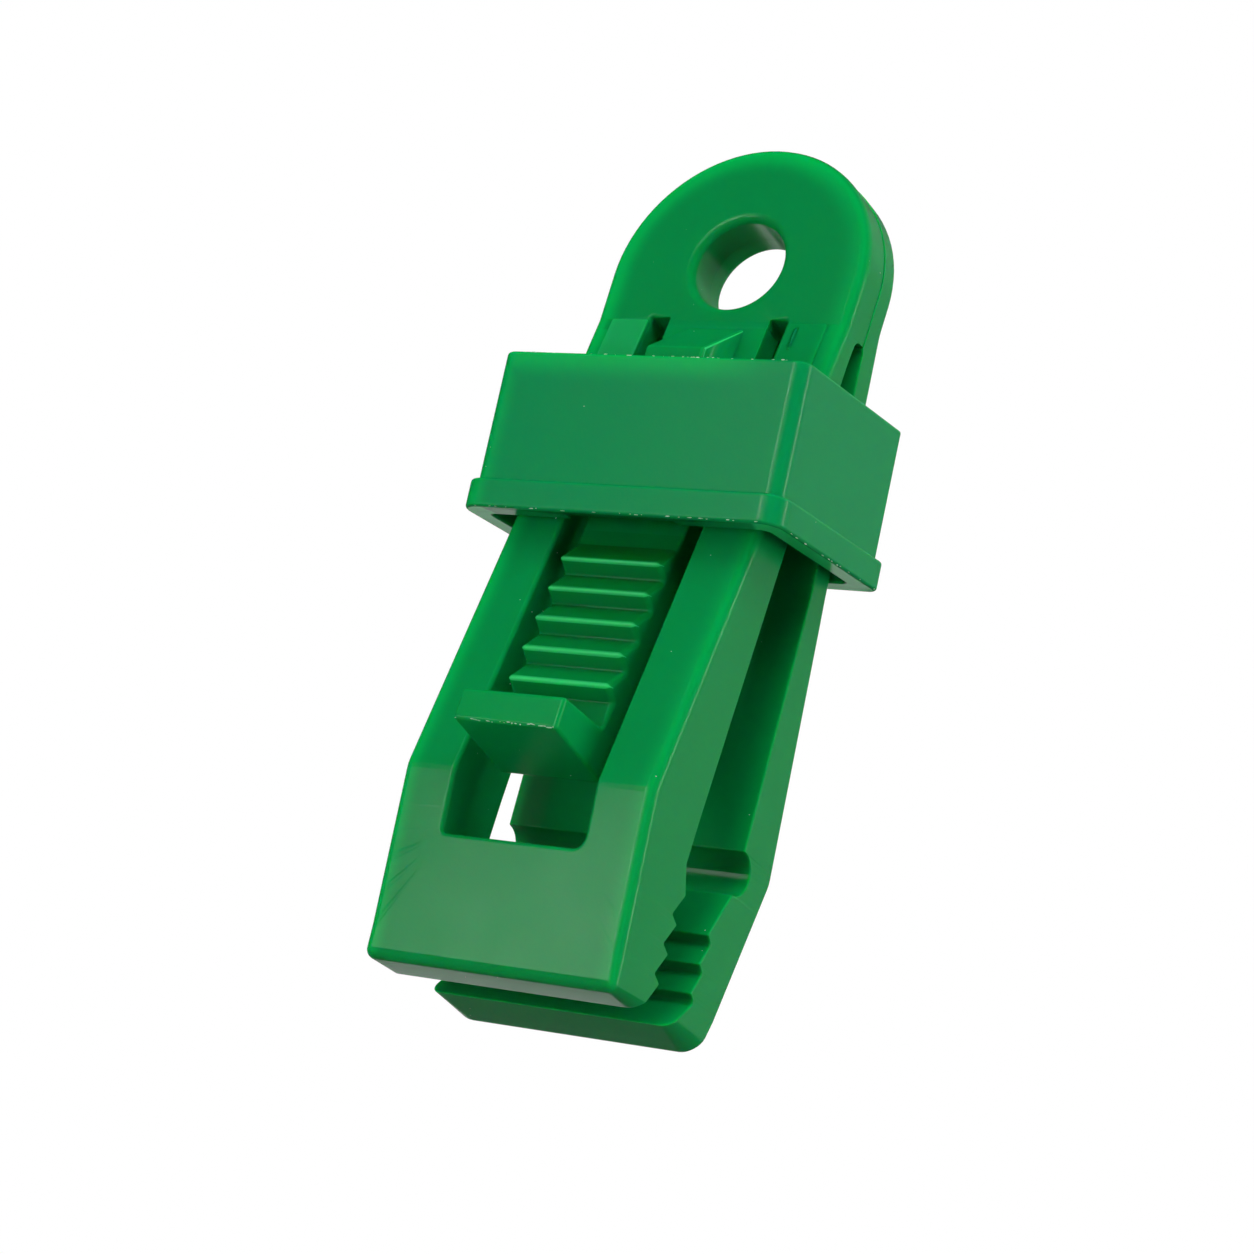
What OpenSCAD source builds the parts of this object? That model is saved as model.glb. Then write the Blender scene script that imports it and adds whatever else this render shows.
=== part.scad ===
// Green plastic tarp clip: two sprung arms with toothed jaws, a hanging eye, and a
// sliding collar that squeezes the arms shut and is held by a ratchet tongue.
// Frame: origin in the middle of the eye's hole, +X across the clip, +Y to the back
// and +Z up through the eye. Drops are distances down from the hole's centre.

/* [Eye] */
// Width across the round eye
eye_w = 29.4; // [26:0.2:32]
// Thickness of the eye
eye_t = 7.2; // [6.4:0.1:8]
// Diameter of the hole for a rope, cord or hook
hole_d = 10; // [6:0.2:12]
// How far the hole sits above the centre of the round top
hole_rise = 1.2; // [0:0.1:2.5]
// Rounding of the eye's outer rim
rim_round = 1.3; // [0.6:0.1:1.8]
// Rounding of the hole's two mouths
mouth_round = 0.5; // [0.2:0.1:1]

/* [Fork] */
// Drop to the line where the arms and the tongue spring from the eye
root_drop = 6.7; // [6.4:0.1:7.4]
// Gap between the two arms at their roots
fork_gap = 2; // [1.4:0.1:2.4]
// How far the middle of that gap lies behind the middle of the eye
fork_back = 1.15; // [0.8:0.05:1.4]

/* [Arms] */
// Lean of each arm's outer face from upright, in degrees
arm_lean = 8.6; // [8.2:0.1:9]
// Drop to where the back face starts to lean, as the front face does at the root
rear_break = 2.5; // [1.5:0.1:3.5]
// Drop to the bend where the arms turn inwards again
kink_drop = 59.5; // [59:0.5:61]
// How much narrower the arms' roots are than the eye
root_inset = 0.2; // [0:0.05:0.4]
// Width of the arms below the shoulder
arm_w = 27.8; // [25:0.1:28.6]
// Drop to the shoulder, where the arms reach that width
shoulder_drop = 31; // [20:1:40]
// Drop at which the thickness half way down is measured
waist_drop = 32; // [28:1:36]
// Thickness of the front arm half way down
front_waist_t = 5.6; // [5:0.1:6.2]
// Thickness of the front arm at the bend
front_kink_t = 9; // [8:0.1:9.4]
// Thickness of the back arm half way down
rear_waist_t = 3.2; // [2.6:0.1:3.8]
// Thickness of the back arm at the bend
rear_kink_t = 5.8; // [5:0.1:6.4]

/* [Window] */
// Width of the slot on each side of the tongue
slot_w = 2; // [1.8:0.1:2.8]
// Drop to the bottom of the window
window_bottom = 65.8; // [62:0.2:66]
// Rounding of the window's lower corners
window_round = 1; // [0.8:0.1:2.5]

/* [Jaws] */
// Drop to the end of the front jaw's outer face
front_end_drop = 77.3; // [76.5:0.1:78]
// Width of the front jaw's flat end
front_end_t = 5; // [4:0.1:5.6]
// Slope of that flat end, in degrees
end_slope = 10; // [4:1:14]
// Drop to the end of the back jaw's outer face
rear_end_drop = 78; // [77.2:0.1:79]
// Inward lean of each jaw's outer face, in degrees
jaw_lean = 9.6; // [8:0.1:10]
// Spacing of the gripping teeth
grip_pitch = 2.93; // [2.7:0.01:3]
// Share of the spacing taken by a tooth's short face
grip_short = 0.22; // [0.1:0.02:0.4]
// Depth of the front jaw's teeth
front_grip = 1.3; // [0.8:0.1:1.4]
// Number of teeth on the front jaw
front_teeth = 4; // [3:1:4]
// Drop to the front jaw's first crest
front_crest_drop = 66.1; // [65.8:0.1:66.5]
// Height of the slope that leads down to the front jaw's first crest
front_lead = 2.6; // [2:0.1:4]
// How far the front jaw's crests lie in front of the eye's middle
front_crest_y = 1.2; // [1:0.1:2]
// Depth of the back jaw's teeth
rear_grip = 1; // [0.6:0.1:1.2]
// Number of teeth on the back jaw above its lip
rear_teeth = 3; // [2:1:3]
// Drop to the back jaw's first crest
rear_crest_drop = 67.8; // [67.4:0.1:68.2]
// How far the back jaw's crests lie behind the eye's middle
rear_crest_y = 4.3; // [4:0.1:5]
// How far the back jaw's end lip lies behind the eye's middle
rear_lip_y = 2.4; // [2.2:0.1:3.5]
// How far that lip lies above the end of the outer face
rear_end_rise = 0.4; // [0.1:0.1:1]
// Diameter of the rope groove in the back jaw
groove_d = 4.4; // [3:0.1:4.8]
// Drop to the middle of the rope groove
groove_drop = 60.7; // [60:0.1:61.4]

/* [Tongue] */
// Width of the ratchet tongue
tongue_w = 11.6; // [10.6:0.1:12]
// Thickness of the tongue at its root
tongue_root_t = 2.6; // [2.2:0.1:3]
// Thickness of the tongue behind its last tooth
tongue_end_t = 3.4; // [2.8:0.1:4]
// How far the tongue's plain face lies below the rails
tongue_sink = 0.6; // [0.4:0.05:0.8]
// Number of ratchet teeth
ratchet_teeth = 5; // [3:1:5]
// Spacing of the ratchet teeth
ratchet_pitch = 3.42; // [3.2:0.02:3.5]
// Share of that spacing taken by a tooth's steep face
ratchet_steep = 0.3; // [0.2:0.02:0.4]
// How far the ratchet teeth stand proud of the rails
ratchet_proud = 1.3; // [0.9:0.05:1.4]
// Distance from the open collar's lower edge down to the first ratchet tooth
ratchet_start = 4.6; // [3:0.1:5.5]

/* [Release tab] */
// How much wider the tab is than the tongue
tab_extra = 0.2; // [0:0.1:0.6]
// Distance from the last ratchet tooth down to the tab
tab_space = 3.9; // [3:0.1:4.4]
// Height of the tab's front face
tab_h = 3.2; // [2.5:0.1:4]
// How far the tab reaches in front of the eye's middle
tab_reach = 17.5; // [15:0.1:18.5]
// Extra depth at which the tab's underside meets the back of the tongue
tab_under = 1.2; // [0.6:0.1:1.8]

/* [Stop wedge] */
// Width of the wedge on the tongue's root
wedge_w = 6.6; // [5:0.1:8]
// Drop to the top of the wedge's ramp
wedge_top = 7.7; // [7.3:0.1:8.2]
// Height of the wedge's nose
wedge_nose_h = 1.5; // [1:0.1:2]
// Clearance between the nose and the collar's stop rib, fully open
stop_gap = 0.7; // [0.6:0.05:0.9]
// How far the nose reaches in front of the eye's middle
wedge_reach = 9.6; // [8.8:0.1:9.8]

/* [Collar] */
// Clearance on each side, so that the collar passes over the eye
side_gap = 1.2; // [0.6:0.1:1.6]
// Thickness of the collar's side walls
side_wall = 1.4; // [1.2:0.1:2]
// Thickness of the collar's front and back walls
face_wall = 1.85; // [1.8:0.05:2.4]
// Height of the collar
collar_h = 16.5; // [14:0.1:17]
// Distance from the back face's bend down to the collar, fully open
collar_drop = 10.6; // [10.5:0.1:12]
// Clearance between the collar and the back arm
collar_gap = 0.3; // [0.2:0.05:0.4]
// Play between the open collar's lower edge and the front arm
collar_play = 1.3; // [1.2:0.05:1.6]
// Rounding of the collar's upright outer corners
collar_round = 1.4; // [0.8:0.1:2.2]
// Rounding of the collar's upright inner corners
collar_in_round = 0.8; // [0.4:0.1:1.2]
// Height of the rim around the collar's lower edge
flange_h = 3; // [2:0.1:4]
// How far that rim stands out
flange_out = 0.75; // [0.4:0.05:1.2]
// Depth of the lead-in cut for the ratchet teeth
relief_d = 1.4; // [1.3:0.05:1.6]
// Height of the lead-in cut
relief_h = 6.5; // [6:0.1:8]
// Side clearance of the lead-in cut
relief_gap = 0.5; // [0.3:0.1:1]
// How far the stop rib reaches under the wedge's nose
rib_catch = 0.4; // [0.3:0.05:0.5]
// Height of the stop rib's edge
rib_h = 1.2; // [0.8:0.1:2]
// Width of the stop rib
rib_w = 9; // [7:0.1:11]

/* [Hidden] */
$fn = 96;
cut = 1;
deep = 2 * (tab_reach + cut);

half_t = eye_t / 2;
eye_r = eye_w / 2;
root_w = eye_w - root_inset;
fork_r = fork_gap / 2;
front_root_y = fork_back - fork_r;
rear_root_y = fork_back + fork_r;

// The outer faces, as distances from the eye's middle plane at a given drop
function front_face(drop) = -half_t - max(0, drop - root_drop) * tan(arm_lean);
function rear_face(drop) = half_t + max(0, drop - rear_break) * tan(arm_lean);
function front_jaw_face(drop) = front_face(kink_drop) + (drop - kink_drop) * tan(jaw_lean);
function rear_jaw_face(drop) = rear_face(kink_drop) - (drop - kink_drop) * tan(jaw_lean);

// The inner faces, which the thicknesses set
front_waist_y = front_face(waist_drop) + front_waist_t;
front_kink_y = front_face(kink_drop) + front_kink_t;
rear_waist_y = rear_face(waist_drop) - rear_waist_t;
groove_y = rear_face(kink_drop) - rear_kink_t;
groove_r = groove_d / 2;

// A row of gripping teeth: each crest, then the bottom of the gap below it
function grip_points(first, count, crest_y, depth, long_first) = [
    for (i = [0 : count - 1])
        let (drop = first + i * grip_pitch,
             share = long_first ? 1 - grip_short : grip_short)
        each [[crest_y, -drop], [crest_y + depth, -drop - share * grip_pitch]]
];

front_crests = grip_points(front_crest_drop, front_teeth, -front_crest_y, -front_grip, true);
rear_crests = grip_points(rear_crest_drop, rear_teeth, rear_crest_y, rear_grip, false);
front_tip_y = front_jaw_face(front_end_drop) + front_end_t;
front_tip_drop = front_end_drop + front_end_t * tan(end_slope);
rear_lip_drop = rear_end_drop - rear_end_rise;

// The collar's own frame starts where the back face bends and leans with that face.
// Its lower edge meets the front face's line at front_foot_drop, and arms_span is the
// distance between the two outer faces there.
lean_sin = sin(arm_lean);
lean_cos = cos(arm_lean);
collar_foot = collar_drop + collar_h;
front_foot_drop = (collar_foot + lean_sin * (eye_t - root_drop * tan(arm_lean))
    + lean_cos * rear_break) / (lean_cos - lean_sin * tan(arm_lean));
arms_span = lean_cos * (half_t - front_face(front_foot_drop))
    + lean_sin * (front_foot_drop - rear_break);
collar_in_d = arms_span + collar_gap + collar_play;
collar_in_w = eye_w + 2 * side_gap;
collar_w = collar_in_w + 2 * side_wall;
collar_d = collar_in_d + 2 * face_wall;

// The tongue's plain face, and the line that its ratchet crests follow
window_w = tongue_w + 2 * slot_w;
ratchet_drop = front_foot_drop + ratchet_start;
function tongue_face(drop) = drop <= root_drop ? -half_t
    : front_face(drop) + tongue_sink * min(1, (drop - root_drop) / (waist_drop - root_drop));
function ratchet_crest(drop) = front_face(drop) - ratchet_proud;
ratchet_long = (1 - ratchet_steep) * ratchet_pitch;
ratchet_points = [
    for (i = [0 : ratchet_teeth - 1])
        let (drop = ratchet_drop + i * ratchet_pitch)
        each [
            [tongue_face(drop - ratchet_long), -(drop - ratchet_long)],
            [ratchet_crest(drop), -drop]
        ]
];
last_crest = ratchet_drop + (ratchet_teeth - 1) * ratchet_pitch;
last_valley = last_crest + ratchet_steep * ratchet_pitch;
tab_w = tongue_w + tab_extra;
tab_drop = last_crest + tab_space;
tongue_end_drop = tab_drop + tab_h + tab_under;
tongue_back_y = tongue_face(last_crest) + tongue_end_t;
tongue_end_y = tongue_back_y - (tongue_end_drop - last_crest) * tan(arm_lean);

// The wedge's nose ends just above the stop rib, which reaches out from the front wall
nose_out = wedge_reach + half_t;
wedge_foot = rear_break + (collar_drop - stop_gap + lean_sin * nose_out) / lean_cos;
wedge_nose = wedge_foot - wedge_nose_h;
nose_to_wall = collar_in_d - collar_gap
    - lean_cos * nose_out - lean_sin * (wedge_foot - rear_break);
rib_out = nose_to_wall + rib_catch;

module side_profile(points, width) {
    rotate([90, 0, 90]) linear_extrude(height = width, center = true) polygon(points);
}

// The arms seen from the front: full width at the root, then a shoulder
module arm_outline(points, top, bottom) {
    intersection() {
        side_profile(points, root_w + 2 * cut);
        rotate([90, 0, 0]) linear_extrude(height = deep, center = true) polygon([
            [-root_w / 2, -top], [-arm_w / 2, -shoulder_drop], [-arm_w / 2, -bottom],
            [arm_w / 2, -bottom], [arm_w / 2, -shoulder_drop], [root_w / 2, -top]
        ]);
    }
}

module round_rect(w, d, r) {
    square([w - 2 * r, d], center = true);
    square([w, d - 2 * r], center = true);
    for (x = [-1, 1], y = [-1, 1])
        translate([x * (w / 2 - r), y * (d / 2 - r)]) circle(r);
}

// Half of the round top's section, from its axis to its rounded rim
module rim_section() {
    flat = eye_r - rim_round;
    translate([0, -half_t]) square([flat, eye_t]);
    translate([0, -half_t + rim_round]) square([eye_r, eye_t - 2 * rim_round]);
    for (side = [-1, 1])
        translate([flat, side * (half_t - rim_round)]) circle(rim_round);
}

// The hole, with both mouths rounded over
module eye_hole() {
    rotate([90, 0, 0]) {
        cylinder(d = hole_d, h = eye_t + 2 * cut, center = true);
        for (side = [0, 1]) mirror([0, 0, side]) rotate_extrude() difference() {
            translate([0, half_t - mouth_round]) square([hole_d / 2 + mouth_round, mouth_round + cut]);
            translate([hole_d / 2 + mouth_round, half_t - mouth_round]) circle(mouth_round);
        }
    }
}

module eye_lug() {
    color([0.04, 0.5, 0.24]) difference() {
        union() {
            translate([0, 0, -hole_rise]) rotate([90, 0, 0]) rotate_extrude() rim_section();
            translate([0, 0, -root_drop])
                linear_extrude(height = root_drop - hole_rise) round_rect(eye_w, eye_t, rim_round);
            side_profile([
                [half_t - rim_round, -rear_break], [half_t, -rear_break],
                [rear_face(root_drop), -root_drop], [half_t - rim_round, -root_drop]
            ], eye_w - 2 * rim_round);
        }
        eye_hole();
        translate([0, fork_back, -root_drop])
            rotate([0, 90, 0]) cylinder(r = fork_r, h = eye_w + 2 * cut, center = true);
        translate([0, 0, -root_drop - eye_r]) cube([eye_w + 2 * cut, deep, eye_w], center = true);
    }
}

// The window in the front arm, open at the top where the tongue springs from the eye
module window() {
    flat_w = window_w - 2 * window_round;
    translate([-window_w / 2, -window_bottom + window_round])
        square([window_w, window_bottom - window_round - root_drop + cut]);
    translate([-flat_w / 2, -window_bottom]) square([flat_w, window_round + cut]);
    for (side = [-1, 1])
        translate([side * flat_w / 2, -window_bottom + window_round]) circle(window_round);
}

module front_arm() {
    outer = [
        [front_root_y, -root_drop], [front_face(root_drop), -root_drop],
        [front_face(kink_drop), -kink_drop], [front_jaw_face(front_end_drop), -front_end_drop],
        [front_tip_y, -front_tip_drop]
    ];
    inner = [
        [front_kink_y, -(front_crest_drop - front_lead)], [front_kink_y, -kink_drop],
        [front_waist_y, -waist_drop]
    ];
    crests = [for (i = [len(front_crests) - 1 : -1 : 0]) front_crests[i]];
    color([0.05, 0.52, 0.27]) difference() {
        arm_outline(concat(outer, crests, inner), root_drop, front_tip_drop + cut);
        rotate([90, 0, 0]) linear_extrude(height = deep, center = true) window();
    }
}

module rear_arm() {
    outer = [
        [rear_jaw_face(rear_end_drop), -rear_end_drop], [rear_face(kink_drop), -kink_drop],
        [rear_face(root_drop), -root_drop], [rear_root_y, -root_drop]
    ];
    inner = [
        [rear_waist_y, -waist_drop], [groove_y, -(groove_drop - groove_r)],
        [groove_y, -(groove_drop + groove_r)]
    ];
    lip = [[rear_lip_y, -rear_lip_drop]];
    color([0.03, 0.44, 0.2]) difference() {
        arm_outline(concat(outer, inner, rear_crests, lip), root_drop, rear_end_drop + cut);
        translate([0, groove_y, -groove_drop])
            rotate([0, 90, 0]) cylinder(r = groove_r, h = arm_w + 2 * cut, center = true);
    }
}

// The strap with its ratchet, the tab at its foot and the wedge at its root
module release_tongue() {
    strap = concat(
        [[front_face(root_drop), -root_drop], [tongue_face(waist_drop), -waist_drop]],
        ratchet_points,
        [
            [tongue_face(last_valley), -last_valley],
            [tongue_face(tongue_end_drop), -tongue_end_drop], [tongue_end_y, -tongue_end_drop],
            [tongue_back_y, -last_crest], [tongue_root_t - half_t, -root_drop]
        ]);
    tab_back_y = tongue_end_y - cut;
    tab = [
        [tab_back_y, -tab_drop], [-tab_reach, -tab_drop], [-tab_reach, -(tab_drop + tab_h)],
        [tongue_face(tongue_end_drop), -tongue_end_drop], [tab_back_y, -tongue_end_drop]
    ];
    wedge_back_y = tongue_face(wedge_top) + cut;
    wedge = [
        [wedge_back_y, -wedge_top], [tongue_face(wedge_top), -wedge_top],
        [-wedge_reach, -wedge_nose], [-wedge_reach, -wedge_foot],
        [tongue_face(wedge_foot) + cut, -wedge_foot]
    ];
    color([0.02, 0.58, 0.26]) union() {
        side_profile(strap, tongue_w);
        side_profile(tab, tab_w);
        side_profile(wedge, wedge_w);
    }
}

// A sleeve with a rim round its foot, a lead-in for the ratchet and the stop rib
module slide_collar() {
    middle_y = collar_gap - collar_in_d / 2;
    inner_y = -collar_in_d / 2;
    color([0.06, 0.56, 0.3])
        translate([0, half_t, -rear_break]) rotate([arm_lean, 0, 0])
        translate([0, middle_y, -collar_drop - collar_h]) {
            difference() {
                union() {
                    linear_extrude(height = collar_h) round_rect(collar_w, collar_d, collar_round);
                    linear_extrude(height = flange_h)
                        round_rect(collar_w + 2 * flange_out, collar_d + 2 * flange_out,
                                   collar_round + flange_out);
                }
                translate([0, 0, -cut]) linear_extrude(height = collar_h + 2 * cut)
                    round_rect(collar_in_w, collar_in_d, collar_in_round);
                side_profile([
                    [inner_y + cut, -cut], [inner_y - relief_d * (1 + cut / relief_h), -cut],
                    [inner_y, relief_h], [inner_y + cut, relief_h]
                ], tongue_w + 2 * relief_gap);
            }
            side_profile([
                [inner_y - face_wall / 2, collar_h], [inner_y + rib_out, collar_h],
                [inner_y + rib_out, collar_h - rib_h], [inner_y, collar_h - rib_h - rib_out],
                [inner_y - face_wall / 2, collar_h - rib_h - rib_out]
            ], rib_w);
        }
}

eye_lug();
front_arm();
rear_arm();
release_tongue();
slide_collar();
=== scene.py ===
import copy
import math
import bmesh
import bpy
from mathutils import Matrix, Vector
from mathutils.geometry import delaunay_2d_cdt


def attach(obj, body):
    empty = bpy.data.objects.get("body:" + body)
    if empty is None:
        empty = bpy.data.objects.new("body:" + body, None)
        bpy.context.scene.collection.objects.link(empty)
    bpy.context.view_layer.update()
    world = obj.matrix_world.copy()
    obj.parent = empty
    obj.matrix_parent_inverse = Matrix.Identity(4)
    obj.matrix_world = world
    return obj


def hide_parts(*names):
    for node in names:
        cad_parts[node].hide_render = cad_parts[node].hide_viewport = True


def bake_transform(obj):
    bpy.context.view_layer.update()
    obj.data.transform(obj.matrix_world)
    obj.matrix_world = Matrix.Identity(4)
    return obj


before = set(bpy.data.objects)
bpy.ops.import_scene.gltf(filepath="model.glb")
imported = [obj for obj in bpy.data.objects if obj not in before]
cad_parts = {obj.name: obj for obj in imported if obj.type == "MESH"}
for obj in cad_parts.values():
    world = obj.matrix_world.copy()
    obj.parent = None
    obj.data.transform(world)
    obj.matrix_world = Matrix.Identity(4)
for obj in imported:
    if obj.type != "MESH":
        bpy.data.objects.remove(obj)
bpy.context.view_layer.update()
print("frame loaded:", ", ".join(sorted(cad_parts)))

mm = 0.001


# The photograph's viewpoint: in front of the clip, to its right and below, with a tilt
view = {
    "azimuth": 34.67, "elevation": -19.1, "roll": 17.35,   # degrees
    "lens": 103.19, "sensor": 36.0,
    "place": (187.25, -273.77, -154.28),                    # mm
    "near": 0.01, "far": 10,                                # metres
}


def addCamera():
    az, el, roll = (math.radians(view[k]) for k in ("azimuth", "elevation", "roll"))
    level = Vector((math.cos(az), math.sin(az), 0))
    ahead = Vector((-math.sin(az) * math.cos(el), math.cos(az) * math.cos(el), -math.sin(el)))
    up = level.cross(ahead)
    right = math.cos(roll) * level + math.sin(roll) * up
    above = right.cross(ahead)
    data = bpy.data.cameras.new("photoCamera")
    data.lens, data.sensor_width = view["lens"], view["sensor"]
    data.clip_start, data.clip_end = view["near"], view["far"]
    camera = bpy.data.objects.new("photoCamera", data)
    bpy.context.scene.collection.objects.link(camera)
    turn = Matrix((right, above, -ahead)).transposed()
    camera.matrix_world = Matrix.Translation(Vector(view["place"]) * mm) @ turn.to_4x4()
    bpy.context.scene.camera = camera


addCamera()
print("camera placed")


# Outlines and rounding, in millimetres

sharpEdge = 0.02        # the least rounding, where two pieces meet
roundStep = {"corner": 12, "hole": 5, "eye": 4}     # degrees from point to point
mostOfSide = 0.49       # the share of a side that the rounding of one corner may take
sameHeight = 1e-3       # an outline's point this near to a bend line lies on it
weldWithin, dropUnder = 2e-6, 1e-6                  # metres
# How strongly the "rim" attribute marks an outer edge, a hole's edge and a sharp corner;
# it drives the painted rim glow
rimLevel = {"edge": 1.0, "hole": 0.4, "corner": 0.5, "cornerUpTo": 0.5}


class EdgePoint:
    # A point on the outline of a moulded plate. It knows which way is out of the plastic,
    # and, on a rounded corner, that corner, so that the outline can be drawn further in.
    def __init__(self, u, v, out, corner=None, inward=None, spread=1.0, radius=0.0, bulges=True):
        self.at, self.out = Vector((u, v)), out
        self.corner, self.inward, self.spread = corner, inward, spread
        self.radius, self.bulges, self.station = radius, bulges, None

    def inset(self, distance):
        if self.corner is None:
            return self.at - self.out * distance
        tip = self.corner + self.inward * distance / self.spread
        if self.bulges:
            radius = max(0.0, self.radius - distance)
            return tip + self.inward * radius / self.spread + self.out * radius
        radius = self.radius + distance
        return tip - self.inward * radius / self.spread - self.out * radius


def outline(corners):
    # corners are (u, v, radius) of a closed loop that keeps the plastic on its left
    points, count = [], len(corners)
    for i, (u, v, radius) in enumerate(corners):
        corner = Vector((u, v))
        before = Vector(corners[i - 1][:2]) - corner
        after = Vector(corners[(i + 1) % count][:2]) - corner
        turn = (-before).angle_signed(after)                # positive to the right
        bulges = turn < 0
        half = (math.pi - abs(turn)) / 2
        middle = (before.normalized() + after.normalized()).normalized()
        inward = middle if bulges else -middle
        reach = radius / math.tan(half)
        room = mostOfSide * min(before.length, after.length)
        if reach > room:
            radius *= room / reach
        centre = corner + middle * radius / math.sin(half)
        steps = max(1, round(abs(math.degrees(turn)) / roundStep["corner"])) if radius > 0 else 0
        travel = -before.normalized()
        out = Vector((travel.y, -travel.x))
        for k in range(steps + 1):
            facing = Matrix.Rotation(-turn * k / steps, 2) @ out if steps else -inward
            place = centre + facing * radius * (1 if bulges else -1)
            points.append(EdgePoint(*place, facing, corner, inward, math.sin(half), radius,
                                    bulges))
    return points


def onCircle(radius, degrees):
    turn = math.radians(degrees)
    return radius * math.cos(turn), radius * math.sin(turn)


def holeOutline(radius):
    # a round hole about the origin, clockwise, so that out points at its centre
    points = []
    for a in range(0, 360, roundStep["hole"]):
        out = Vector(onCircle(1, a))
        points.append(EdgePoint(radius * out.x, radius * out.y, -out))
    return points[::-1]


def softPath(corners):
    # an open path of (value, height) whose corners (value, height, radius) are rounded
    path, count = [corners[0][:2]], len(corners)
    for i in range(1, count - 1):
        corner, radius = Vector(corners[i][:2]), corners[i][2]
        a = (Vector(corners[i - 1][:2]) - corner)
        b = (Vector(corners[i + 1][:2]) - corner)
        half = a.angle(b) / 2
        turn = math.pi - 2 * half
        if radius <= 0 or turn < math.radians(1):
            path.append(tuple(corner))
            continue
        reach = radius / math.tan(half)
        room = mostOfSide * min(a.length, b.length)
        if reach > room:
            radius, reach = radius * room / reach, room
        inward = (a.normalized() + b.normalized()).normalized()
        centre = corner + inward * radius / math.sin(half)
        arm = corner + a.normalized() * reach - centre
        sweep = arm.angle_signed(corner + b.normalized() * reach - centre)
        steps = max(2, round(math.degrees(turn) / roundStep["corner"]))
        path += [tuple(centre + Matrix.Rotation(-sweep * k / steps, 2) @ arm)
                 for k in range(steps + 1)]
    path.append(corners[-1][:2])
    return path


def pathValue(path, z):
    # the value of a (value, height) path, whose heights fall, at one height
    if z >= path[0][1]:
        return path[0][0]
    for (v0, z0), (v1, z1) in zip(path, path[1:]):
        if z >= z1:
            return v0 if z0 == z1 else v0 + (v1 - v0) * (z - z0) / (z1 - z0)
    return path[-1][0]


def along(path):
    return lambda z: pathValue(path, z)


def heights(path, top, bottom):
    return sorted({round(z, 4) for _, z in path if bottom < z < top})


def between(p, q, t, station):
    out = p.out.lerp(q.out, t)
    if out.length < 0.1:
        out = p.out
    made = EdgePoint(*p.at.lerp(q.at, t), out.normalized())
    made.station = station
    return made


def addStations(near, far, nearLines, farLines):
    # gives both outlines of a plate a point wherever either crosses one of its bend lines
    newNear, newFar, count = [], [], len(near)
    for i in range(count):
        j, cuts = (i + 1) % count, {}
        for side, points, lines in ((0, near, nearLines), (1, far, farLines)):
            p, q = points[i].at.y, points[j].at.y
            for line in lines:
                if abs(p - line) < sameHeight:
                    points[i].station = line
                elif abs(q - line) > sameHeight and (p - line) * (q - line) < 0:
                    t = round((line - p) / (q - p), 5)
                    cuts.setdefault(t, [None, None])[side] = line
        newNear.append(near[i])
        newFar.append(far[i])
        for t in sorted(cuts):
            newNear.append(between(near[i], near[j], t, cuts[t][0]))
            newFar.append(between(far[i], far[j], t, cuts[t][1]))
    return newNear, newFar


class Loop:
    # One edge all round a plate: its outline at each face, and how far each edge is rounded.
    # Both faces have the same outline unless the far one is given.
    def __init__(self, near, nearRound, farRound, far=None, hole=False):
        self.near, self.far, self.hole = near, far or [copy.copy(p) for p in near], hole
        self.nearRound = nearRound if callable(nearRound) else (lambda u, v: nearRound)
        self.farRound = farRound if callable(farRound) else (lambda u, v: farRound)


def fromFront(u, v, depth):
    return u, depth, v


def fromSide(u, v, depth):
    return depth, u, v


def plateMesh(loops, nearFace, farFace, nearLines=(), farLines=(), arcSteps=5, place=fromFront,
              crestRadius=-1.0):
    # A plate whose outline lies in (u, v). nearFace(v) and farFace(v) give the depth of its
    # two faces, which bend along nearLines and farLines.
    bm = bmesh.new()
    edgeLayer = bm.verts.layers.float.new("rim")
    crestLayer = bm.verts.layers.float.new("crest")
    nearRings, farRings = [], []
    for loop in loops:
        loop.near, loop.far = addStations(loop.near, loop.far, nearLines, farLines)
        rings = []
        for side, points, rounding in (("near", loop.near, loop.nearRound),
                                       ("far", loop.far, loop.farRound)):
            for k in range(arcSteps + 1):
                angle = math.radians(90) * (1 - k / arcSteps if side == "near" else k / arcSteps)
                ring = []
                for point in points:
                    r = rounding(*point.at)
                    p = point.inset(r * (1 - math.cos(angle)))
                    depth = r * (1 - math.sin(angle))
                    d = nearFace(p.y) + depth if side == "near" else farFace(p.y) - depth
                    made = bm.verts.new(tuple(c * mm for c in place(p.x, p.y, d)))
                    # small bulging corners get painted glow in rim and, at the crest radius, the
                    # painted highlight
                    crest = (point.corner is not None and point.bulges
                             and point.radius < rimLevel["cornerUpTo"])
                    level = math.sin(2 * angle) * min(1, r) * rimLevel[
                        "hole" if loop.hole else "edge"]
                    made[edgeLayer] = max(level, rimLevel["corner"] * crest)
                    made[crestLayer] = crest and math.isclose(point.radius, crestRadius)
                    ring.append((made, p, point.station))
                rings.append(ring)
        count = len(loop.near)
        for a, b in zip(rings, rings[1:]):
            for i in range(count):
                j = (i + 1) % count
                quad = (a[i][0], a[j][0], b[j][0], b[i][0])
                bm.faces.new(quad[::-1] if loop.hole else quad)
        nearRings.append(rings[0])
        farRings.append(rings[-1])
    fillFace(bm, nearRings, loops, nearLines, False)
    fillFace(bm, farRings, loops, farLines, True)
    bmesh.ops.remove_doubles(bm, verts=bm.verts, dist=weldWithin)
    bmesh.ops.dissolve_degenerate(bm, edges=bm.edges, dist=dropUnder)
    bmesh.ops.recalc_face_normals(bm, faces=bm.faces)
    return bm


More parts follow.
